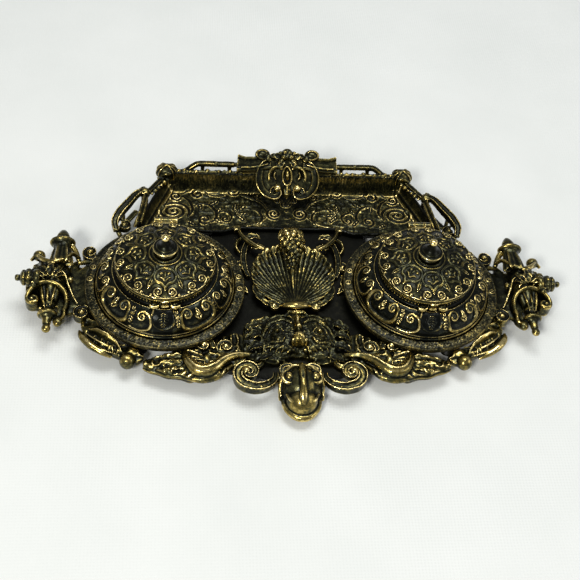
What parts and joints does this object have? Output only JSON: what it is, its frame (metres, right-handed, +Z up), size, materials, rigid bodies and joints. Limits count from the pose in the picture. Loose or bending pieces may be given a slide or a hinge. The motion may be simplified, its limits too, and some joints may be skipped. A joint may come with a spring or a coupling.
{
  "type": "double inkstand",
  "caption": "Cast openwork inkstand with a pen tray, hinged relief lids over glass ink pots, a shell dish and turned side handles.",
  "frame": {"origin": "on the table, under the middle of the stand", "axes": "+X to the right as seen from the front, +Y to the back where the pen tray is, +Z up"},
  "size_m": [0.34, 0.1999, 0.0622],
  "materials": {
    "base_bronze": "cast, very dark brown-black patina",
    "tray_bronze": "cast, dark patina with worn gold edges",
    "web_bronze": "cast openwork, dark olive-brown patina, worn gold on raised edges",
    "gilt_bronze": "cast, brown patina rubbed through to yellow gold",
    "pan_bronze": "cast, granular dark patina",
    "cover_bronze": "cast relief, dark patina with gold scroll edges",
    "lid_bronze": "cast relief, brown patina, satin",
    "side_bronze": "cast and turned, brown patina",
    "fixing_metal": "turned, dull",
    "pot_glass": "moulded clear glass, slightly green"
  },
  "bodies": {
    "stand": {"base_frame": "base_bronze", "pen_tray": "tray_bronze", "tray_rail": "tray_bronze", "tray_bracket_left": "tray_bronze", "tray_bracket_right": "tray_bronze", "crest_cartouche": "gilt_bronze", "shell_dish": "web_bronze", "berry_finial": "gilt_bronze", "leaf_strut_left": "web_bronze", "leaf_strut_right": "web_bronze", "mask_boss": "web_bronze", "creature_head": "gilt_bronze", "front_scroll_left": "gilt_bronze", "front_scroll_right": "gilt_bronze", "dolphin_left": "web_bronze", "dolphin_right": "web_bronze", "leaf_scroll_left": "gilt_bronze", "leaf_scroll_right": "gilt_bronze", "well_pan_left": "pan_bronze", "well_pan_right": "pan_bronze", "side_strap_left": "side_bronze", "side_strap_right": "side_bronze", "spindle_left": "side_bronze", "spindle_right": "side_bronze", "husk_knob_left": "side_bronze", "husk_knob_right": "side_bronze", "well_cover_left": "cover_bronze", "well_cover_right": "cover_bronze", "clasp_lugs_left": "cover_bronze", "clasp_lugs_right": "cover_bronze", "ink_pot_left": "pot_glass", "ink_pot_right": "pot_glass", "hinge_pin_left": "fixing_metal", "hinge_pin_right": "fixing_metal", "feet": "base_bronze", "foot_screws": "fixing_metal"},
    "lid_left": {"lid_left": "lid_bronze", "thumb_tab_left": "lid_bronze", "knob_left": "lid_bronze", "knob_nut_left": "fixing_metal"},
    "lid_right": {"lid_right": "lid_bronze", "thumb_tab_right": "lid_bronze", "knob_right": "lid_bronze", "knob_nut_right": "fixing_metal"}
  },
  "joints": [
    {"name": "lid_left_hinge", "type": "hinge", "parent": "stand", "child": "lid_left", "pos_m": [-0.08, 0.026, 0.0386], "axis": [-1, 0, 0], "range_deg": [0, 105]},
    {"name": "lid_right_hinge", "type": "hinge", "parent": "stand", "child": "lid_right", "pos_m": [0.08, 0.026, 0.0386], "axis": [-1, 0, 0], "range_deg": [0, 105]}
  ]
}
